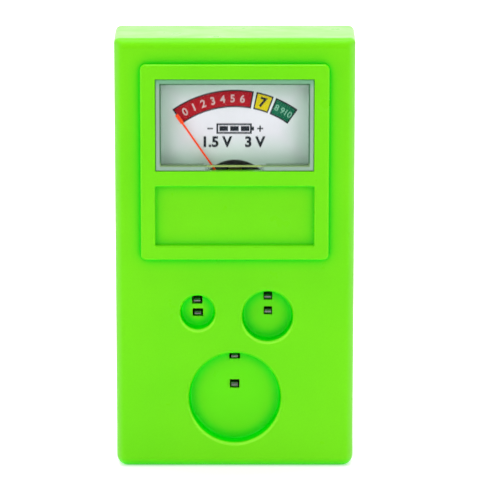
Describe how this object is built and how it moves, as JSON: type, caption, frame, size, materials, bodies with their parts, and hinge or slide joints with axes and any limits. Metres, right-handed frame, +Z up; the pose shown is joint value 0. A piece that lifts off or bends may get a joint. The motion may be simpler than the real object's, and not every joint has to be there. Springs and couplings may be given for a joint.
{
  "type": "battery tester",
  "caption": "Analogue button-cell battery tester: upright plastic case with three cell wells, sprung contacts and a small moving-coil meter under a clear window.",
  "frame": {"origin": "bottom centre of the bounding box, on the base that it stands on", "axes": "+X to the right seen from the front, -Y out of the dial face, +Z up along the height"},
  "size_m": [0.0562, 0.0296, 0.1],
  "materials": {
    "lime_case": "semi-gloss lime green moulded ABS",
    "clear_cover": "clear moulded polystyrene window",
    "black_moulding": "satin black moulded meter tub",
    "dial_white": "satin white printed aluminium dial",
    "plated_screw": "zinc plated steel screws",
    "dark_iron": "dull grey soft iron",
    "magnet": "ground alnico magnet",
    "brass": "turned or stamped brass",
    "bronze_spring": "rolled phosphor bronze strip",
    "former": "folded thin aluminium strip",
    "copper": "enamelled copper wire",
    "polished_steel": "polished hardened steel pin",
    "orange_paint": "satin fluorescent orange-red paint",
    "nickel_strip": "nickel plated spring strip",
    "board": "tan phenolic laminate",
    "resistor": "beige lacquered body with colour bands",
    "tin": "tinned copper wire",
    "red_pvc": "semi-gloss PVC insulation",
    "black_pvc": "semi-gloss PVC insulation"
  },
  "bodies": {
    "tester": {"back_cover": "lime_case", "black_wire": "black_pvc", "board_screws": "plated_screw", "bridge_pillars": "brass", "bridge_screws": "plated_screw", "case_screws": "plated_screw", "circuit_board": "board", "core_magnet": "magnet", "core_spacers": "brass", "dial_plate": "dial_white", "dial_screws": "plated_screw", "front_bridge": "brass", "front_hairspring": "bronze_spring", "front_jewel_screw": "brass", "front_shell": "lime_case", "large_cell_resistor": "resistor", "large_floor_foot": "nickel_strip", "large_rim_foot": "nickel_strip", "medium_cell_resistor": "resistor", "medium_floor_foot": "nickel_strip", "medium_rim_foot": "nickel_strip", "meter_base": "black_moulding", "meter_cover": "clear_cover", "meter_screws": "plated_screw", "rear_bridge": "brass", "rear_bridge_screws": "plated_screw", "rear_hairspring": "bronze_spring", "rear_jewel_screw": "brass", "red_wire": "red_pvc", "resistor_leads": "tin", "small_cell_resistor": "resistor", "small_floor_foot": "nickel_strip", "small_rim_foot": "nickel_strip", "terminal_lugs": "tin", "terminal_nuts": "plated_screw", "terminal_studs": "brass", "yoke_ring": "dark_iron"},
    "pointer_assembly": {"pointer": "orange_paint", "counterweights": "tin", "coil_former": "former", "coil_winding": "copper", "front_staff": "polished_steel", "rear_staff": "polished_steel"},
    "large_floor_contact": {"large_floor_leaf": "nickel_strip"},
    "medium_floor_contact": {"medium_floor_leaf": "nickel_strip"},
    "small_floor_contact": {"small_floor_leaf": "nickel_strip"},
    "large_rim_contact": {"large_rim_leaf": "nickel_strip"},
    "medium_rim_contact": {"medium_rim_leaf": "nickel_strip"},
    "small_rim_contact": {"small_rim_leaf": "nickel_strip"}
  },
  "joints": [
    {"name": "pointer_swing", "type": "hinge", "parent": "tester", "child": "pointer_assembly", "pos_m": [0, 0, 0.0631], "axis": [0, 1, 0], "range_deg": [0, 70], "stiffness_Nm_per_rad": 0.000002, "deforming": ["front_hairspring", "rear_hairspring"]},
    {"name": "large_floor_contact_press", "type": "hinge", "parent": "tester", "child": "large_floor_contact", "pos_m": [-0.00005, -0.00645, 0.01227], "axis": [-1, 0, 0], "range_deg": [0, 4], "stiffness_Nm_per_rad": 0.02},
    {"name": "medium_floor_contact_press", "type": "hinge", "parent": "tester", "child": "medium_floor_contact", "pos_m": [0.00766, -0.00645, 0.02968], "axis": [-1, 0, 0], "range_deg": [0, 4], "stiffness_Nm_per_rad": 0.02},
    {"name": "small_floor_contact_press", "type": "hinge", "parent": "tester", "child": "small_floor_contact", "pos_m": [-0.00855, -0.00645, 0.02925], "axis": [-1, 0, 0], "range_deg": [0, 4], "stiffness_Nm_per_rad": 0.02},
    {"name": "large_rim_contact_press", "type": "hinge", "parent": "tester", "child": "large_rim_contact", "pos_m": [-0.00005, -0.00645, 0.03235], "axis": [1, 0, 0], "range_deg": [0, 4], "stiffness_Nm_per_rad": 0.02},
    {"name": "medium_rim_contact_press", "type": "hinge", "parent": "tester", "child": "medium_rim_contact", "pos_m": [0.00765, -0.00645, 0.0464], "axis": [1, 0, 0], "range_deg": [0, 4], "stiffness_Nm_per_rad": 0.02},
    {"name": "small_rim_contact_press", "type": "hinge", "parent": "tester", "child": "small_rim_contact", "pos_m": [-0.0087, -0.00645, 0.0455], "axis": [1, 0, 0], "range_deg": [0, 4], "stiffness_Nm_per_rad": 0.02}
  ]
}
